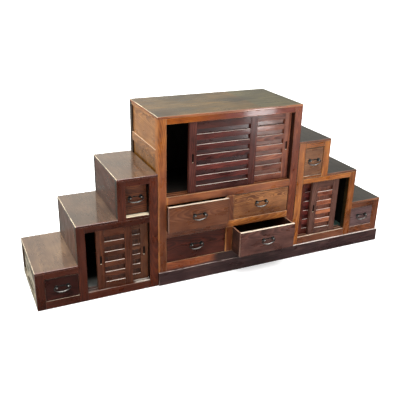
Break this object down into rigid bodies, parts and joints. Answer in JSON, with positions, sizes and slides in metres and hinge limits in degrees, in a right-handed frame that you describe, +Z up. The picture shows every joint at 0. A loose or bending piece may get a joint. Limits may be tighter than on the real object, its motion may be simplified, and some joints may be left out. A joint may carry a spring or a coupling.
{
  "type": "step chest tansu",
  "caption": "Step chest: a tall cabinet with slatted sliding doors and drawers, between two flights of box steps with drawers and sliding doors, with drop handles.",
  "frame": {"origin": "on the floor, under the middle of the centre case and at the middle of the cases' depth", "axes": "+X along the chest to the viewer's right, +Y from the front to the back, +Z up"},
  "size_m": [2.29, 0.5805, 1.004],
  "materials": {
    "dark_lacquer": "dark red-brown worn lacquer",
    "amber_lacquer": "orange-brown clear lacquer over open grain",
    "honey_lacquer": "honey-brown clear lacquer over open grain",
    "door_lacquer": "dark red-brown lacquer",
    "drawer_lacquer": "dark red-brown lacquer with grain",
    "plain_wood": "unfinished softwood, aged",
    "plinth_wood": "dark purple-brown lacquer, worn",
    "iron": "blackened forged iron, rubbed bright on the bow"
  },
  "bodies": {
    "case": {"plinth": "plinth_wood", "centre_frame": "amber_lacquer", "centre_top": "amber_lacquer", "centre_sides": "amber_lacquer", "centre_shelves": "plain_wood", "centre_back_boards": "plain_wood", "left_frame": "dark_lacquer", "left_step_tops": "dark_lacquer", "left_side_boards": "dark_lacquer", "left_shelves": "plain_wood", "left_back_boards": "plain_wood", "right_frame": "honey_lacquer", "right_step_tops": "honey_lacquer", "right_side_boards": "honey_lacquer", "right_shelves": "plain_wood", "right_back_boards": "plain_wood"},
    "left_front_door": {"door_left_front_frame": "door_lacquer", "door_left_front_slats": "door_lacquer"},
    "left_rear_door": {"door_left_rear_frame": "door_lacquer", "door_left_rear_slats": "door_lacquer"},
    "centre_front_door": {"door_centre_front_frame": "door_lacquer", "door_centre_front_slats": "door_lacquer"},
    "centre_rear_door": {"door_centre_rear_frame": "door_lacquer", "door_centre_rear_slats": "door_lacquer"},
    "right_front_door": {"door_right_front_frame": "door_lacquer", "door_right_front_slats": "door_lacquer"},
    "right_rear_door": {"door_right_rear_frame": "door_lacquer", "door_right_rear_slats": "door_lacquer"},
    "upper_left_drawer": {"upper_left_drawer_front": "drawer_lacquer", "upper_left_drawer_box": "plain_wood", "upper_left_handle_plate": "iron"},
    "upper_left_handle": {"upper_left_bail": "iron"},
    "upper_right_drawer": {"upper_right_drawer_front": "drawer_lacquer", "upper_right_drawer_box": "plain_wood", "upper_right_handle_plate": "iron"},
    "upper_right_handle": {"upper_right_bail": "iron"},
    "lower_left_drawer": {"lower_left_drawer_front": "drawer_lacquer", "lower_left_drawer_box": "plain_wood", "lower_left_handle_plate": "iron"},
    "lower_left_handle": {"lower_left_bail": "iron"},
    "lower_right_drawer": {"lower_right_drawer_front": "drawer_lacquer", "lower_right_drawer_box": "plain_wood", "lower_right_handle_plate": "iron"},
    "lower_right_handle": {"lower_right_bail": "iron"},
    "left_low_drawer": {"left_low_drawer_front": "drawer_lacquer", "left_low_drawer_box": "plain_wood", "left_low_handle_plate": "iron"},
    "left_low_handle": {"left_low_bail": "iron"},
    "right_low_drawer": {"right_low_drawer_front": "drawer_lacquer", "right_low_drawer_box": "plain_wood", "right_low_handle_plate": "iron"},
    "right_low_handle": {"right_low_bail": "iron"},
    "left_high_drawer": {"left_high_drawer_front": "drawer_lacquer", "left_high_drawer_box": "plain_wood", "left_high_handle_plate": "iron"},
    "left_high_handle": {"left_high_bail": "iron"},
    "right_high_drawer": {"right_high_drawer_front": "drawer_lacquer", "right_high_drawer_box": "plain_wood", "right_high_handle_plate": "iron"},
    "right_high_handle": {"right_high_bail": "iron"}
  },
  "joints": [
    {"name": "left_front_door_slide", "type": "slide", "parent": "case", "child": "left_front_door", "axis": [1, 0, 0], "range_m": [-0.059, 0.099]},
    {"name": "left_rear_door_slide", "type": "slide", "parent": "case", "child": "left_rear_door", "axis": [1, 0, 0], "range_m": [-0.158, 0]},
    {"name": "centre_front_door_slide", "type": "slide", "parent": "case", "child": "centre_front_door", "axis": [1, 0, 0], "range_m": [-0.135, 0.2415]},
    {"name": "centre_rear_door_slide", "type": "slide", "parent": "case", "child": "centre_rear_door", "axis": [1, 0, 0], "range_m": [-0.3765, 0]},
    {"name": "right_front_door_slide", "type": "slide", "parent": "case", "child": "right_front_door", "axis": [1, 0, 0], "range_m": [-0.084, 0.074]},
    {"name": "right_rear_door_slide", "type": "slide", "parent": "case", "child": "right_rear_door", "axis": [1, 0, 0], "range_m": [-0.001, 0.157]},
    {"name": "upper_left_drawer_slide", "type": "slide", "parent": "case", "child": "upper_left_drawer", "axis": [0, -1, 0], "range_m": [-0.073, 0.267]},
    {"name": "upper_left_handle_swing", "type": "hinge", "parent": "upper_left_drawer", "child": "upper_left_handle", "pos_m": [-0.21175, -0.2715, 0.4289], "axis": [-1, 0, 0], "range_deg": [0, 100]},
    {"name": "upper_right_drawer_slide", "type": "slide", "parent": "case", "child": "upper_right_drawer", "axis": [0, -1, 0], "range_m": [-0.036, 0.304]},
    {"name": "upper_right_handle_swing", "type": "hinge", "parent": "upper_right_drawer", "child": "upper_right_handle", "pos_m": [0.21175, -0.2345, 0.4289], "axis": [-1, 0, 0], "range_deg": [0, 100]},
    {"name": "lower_left_drawer_slide", "type": "slide", "parent": "case", "child": "lower_left_drawer", "axis": [0, -1, 0], "range_m": [-0.035, 0.305]},
    {"name": "lower_left_handle_swing", "type": "hinge", "parent": "lower_left_drawer", "child": "lower_left_handle", "pos_m": [-0.21175, -0.2335, 0.2269], "axis": [-1, 0, 0], "range_deg": [0, 100]},
    {"name": "lower_right_drawer_slide", "type": "slide", "parent": "case", "child": "lower_right_drawer", "axis": [0, -1, 0], "range_m": [-0.143, 0.197]},
    {"name": "lower_right_handle_swing", "type": "hinge", "parent": "lower_right_drawer", "child": "lower_right_handle", "pos_m": [0.21175, -0.3415, 0.2269], "axis": [-1, 0, 0], "range_deg": [0, 100]},
    {"name": "left_low_drawer_slide", "type": "slide", "parent": "case", "child": "left_low_drawer", "axis": [0, -1, 0], "range_m": [-0.037, 0.303]},
    {"name": "left_low_handle_swing", "type": "hinge", "parent": "left_low_drawer", "child": "left_low_handle", "pos_m": [-1.002, -0.2355, 0.1254], "axis": [-1, 0, 0], "range_deg": [0, 100]},
    {"name": "left_high_drawer_slide", "type": "slide", "parent": "case", "child": "left_high_drawer", "axis": [0, -1, 0], "range_m": [0, 0.34]},
    {"name": "left_high_handle_swing", "type": "hinge", "parent": "left_high_drawer", "child": "left_high_handle", "pos_m": [-0.567, -0.1985, 0.5634], "axis": [-1, 0, 0], "range_deg": [0, 100]},
    {"name": "right_low_drawer_slide", "type": "slide", "parent": "case", "child": "right_low_drawer", "axis": [0, -1, 0], "range_m": [-0.037, 0.303]},
    {"name": "right_low_handle_swing", "type": "hinge", "parent": "right_low_drawer", "child": "right_low_handle", "pos_m": [1.002, -0.2355, 0.2094], "axis": [-1, 0, 0], "range_deg": [0, 100]},
    {"name": "right_high_drawer_slide", "type": "slide", "parent": "case", "child": "right_high_drawer", "axis": [0, -1, 0], "range_m": [-0.037, 0.303]},
    {"name": "right_high_handle_swing", "type": "hinge", "parent": "right_high_drawer", "child": "right_high_handle", "pos_m": [0.567, -0.2355, 0.6474], "axis": [-1, 0, 0], "range_deg": [0, 100]}
  ]
}
